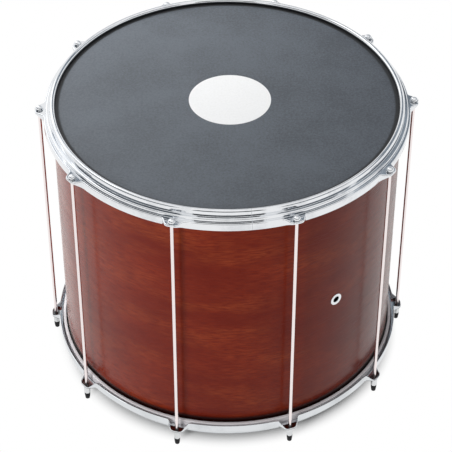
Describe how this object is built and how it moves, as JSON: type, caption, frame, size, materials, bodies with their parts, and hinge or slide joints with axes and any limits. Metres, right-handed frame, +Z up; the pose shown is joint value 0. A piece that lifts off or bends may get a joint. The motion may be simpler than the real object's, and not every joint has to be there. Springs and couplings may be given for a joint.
{
  "type": "surdo drum",
  "caption": "Large cylindrical wooden bass drum with black skins, chromed rims drawn together by tension rods, and rubber-tipped foot nuts that it stands on and is tuned by.",
  "frame": {"origin": "on the floor, under the middle of the drum", "axes": "+Z up along the axis of the shell; -Y is the front, midway between two tension rods"},
  "size_m": [0.6704, 0.6426, 0.5421],
  "materials": {
    "lacquered_wood": "satin reddish-brown lacquer over plywood",
    "chrome": "bright chrome on steel",
    "nut_chrome": "chrome with a slightly frosted look",
    "black_skin": "matt black synthetic leather skin with a fine grain",
    "aluminium": "satin",
    "rubber": "matt"
  },
  "bodies": {
    "lower_rim": {"bottom_rim": "chrome", "bottom_flesh_hoop": "aluminium"},
    "shell_and_skins": {"shell": "lacquered_wood", "vent_eyelet": "chrome", "vent_washer": "chrome", "top_skin": "black_skin", "bottom_skin": "black_skin"},
    "upper_rim_and_rods": {"top_rim": "chrome", "top_flesh_hoop": "aluminium", "tension_rod_01": "chrome", "tension_rod_02": "chrome", "tension_rod_03": "chrome", "tension_rod_04": "chrome", "tension_rod_05": "chrome", "tension_rod_06": "chrome", "tension_rod_07": "chrome", "tension_rod_08": "chrome", "tension_rod_09": "chrome", "tension_rod_10": "chrome", "rod_washer_01": "chrome", "rod_washer_02": "chrome", "rod_washer_03": "chrome", "rod_washer_04": "chrome", "rod_washer_05": "chrome", "rod_washer_06": "chrome", "rod_washer_07": "chrome", "rod_washer_08": "chrome", "rod_washer_09": "chrome", "rod_washer_10": "chrome"},
    "foot_01": {"foot_nut_01": "nut_chrome", "rubber_foot_01": "rubber"},
    "foot_02": {"foot_nut_02": "nut_chrome", "rubber_foot_02": "rubber"},
    "foot_03": {"foot_nut_03": "nut_chrome", "rubber_foot_03": "rubber"},
    "foot_04": {"foot_nut_04": "nut_chrome", "rubber_foot_04": "rubber"},
    "foot_05": {"foot_nut_05": "nut_chrome", "rubber_foot_05": "rubber"},
    "foot_06": {"foot_nut_06": "nut_chrome", "rubber_foot_06": "rubber"},
    "foot_07": {"foot_nut_07": "nut_chrome", "rubber_foot_07": "rubber"},
    "foot_08": {"foot_nut_08": "nut_chrome", "rubber_foot_08": "rubber"},
    "foot_09": {"foot_nut_09": "nut_chrome", "rubber_foot_09": "rubber"},
    "foot_10": {"foot_nut_10": "nut_chrome", "rubber_foot_10": "rubber"}
  },
  "joints": [
    {"name": "foot_01_turn", "type": "hinge", "parent": "lower_rim", "child": "foot_01", "pos_m": [0.10114, -0.31128, 0.033], "axis": [0, 0, 1], "range_deg": [-1440, 1440]},
    {"name": "foot_02_turn", "type": "hinge", "parent": "lower_rim", "child": "foot_02", "pos_m": [0.26479, -0.19238, 0.033], "axis": [0, 0, 1], "range_deg": [-1440, 1440]},
    {"name": "foot_03_turn", "type": "hinge", "parent": "lower_rim", "child": "foot_03", "pos_m": [0.3273, 0, 0.033], "axis": [0, 0, 1], "range_deg": [-1440, 1440]},
    {"name": "foot_04_turn", "type": "hinge", "parent": "lower_rim", "child": "foot_04", "pos_m": [0.26479, 0.19238, 0.033], "axis": [0, 0, 1], "range_deg": [-1440, 1440]},
    {"name": "foot_05_turn", "type": "hinge", "parent": "lower_rim", "child": "foot_05", "pos_m": [0.10114, 0.31128, 0.033], "axis": [0, 0, 1], "range_deg": [-1440, 1440]},
    {"name": "foot_06_turn", "type": "hinge", "parent": "lower_rim", "child": "foot_06", "pos_m": [-0.10114, 0.31128, 0.033], "axis": [0, 0, 1], "range_deg": [-1440, 1440]},
    {"name": "foot_07_turn", "type": "hinge", "parent": "lower_rim", "child": "foot_07", "pos_m": [-0.26479, 0.19238, 0.033], "axis": [0, 0, 1], "range_deg": [-1440, 1440]},
    {"name": "foot_08_turn", "type": "hinge", "parent": "lower_rim", "child": "foot_08", "pos_m": [-0.3273, 0, 0.033], "axis": [0, 0, 1], "range_deg": [-1440, 1440]},
    {"name": "foot_09_turn", "type": "hinge", "parent": "lower_rim", "child": "foot_09", "pos_m": [-0.26479, -0.19238, 0.033], "axis": [0, 0, 1], "range_deg": [-1440, 1440]},
    {"name": "foot_10_turn", "type": "hinge", "parent": "lower_rim", "child": "foot_10", "pos_m": [-0.10114, -0.31128, 0.033], "axis": [0, 0, 1], "range_deg": [-1440, 1440]},
    {"name": "rods_draw", "type": "slide", "parent": "lower_rim", "child": "upper_rim_and_rods", "axis": [0, 0, -1], "range_m": [-0.004, 0.004]},
    {"name": "shell_settle", "type": "slide", "parent": "lower_rim", "child": "shell_and_skins", "axis": [0, 0, -1], "range_m": [-0.002, 0.002]}
  ],
  "couplings": [
    {"joint": "foot_01_turn", "follows": "rods_draw", "rad_per_m": 6283},
    {"joint": "foot_02_turn", "follows": "rods_draw", "rad_per_m": 6283},
    {"joint": "foot_03_turn", "follows": "rods_draw", "rad_per_m": 6283},
    {"joint": "foot_04_turn", "follows": "rods_draw", "rad_per_m": 6283},
    {"joint": "foot_05_turn", "follows": "rods_draw", "rad_per_m": 6283},
    {"joint": "foot_06_turn", "follows": "rods_draw", "rad_per_m": 6283},
    {"joint": "foot_07_turn", "follows": "rods_draw", "rad_per_m": 6283},
    {"joint": "foot_08_turn", "follows": "rods_draw", "rad_per_m": 6283},
    {"joint": "foot_09_turn", "follows": "rods_draw", "rad_per_m": 6283},
    {"joint": "foot_10_turn", "follows": "rods_draw", "rad_per_m": 6283},
    {"joint": "shell_settle", "follows": "rods_draw", "ratio": 0.5}
  ]
}
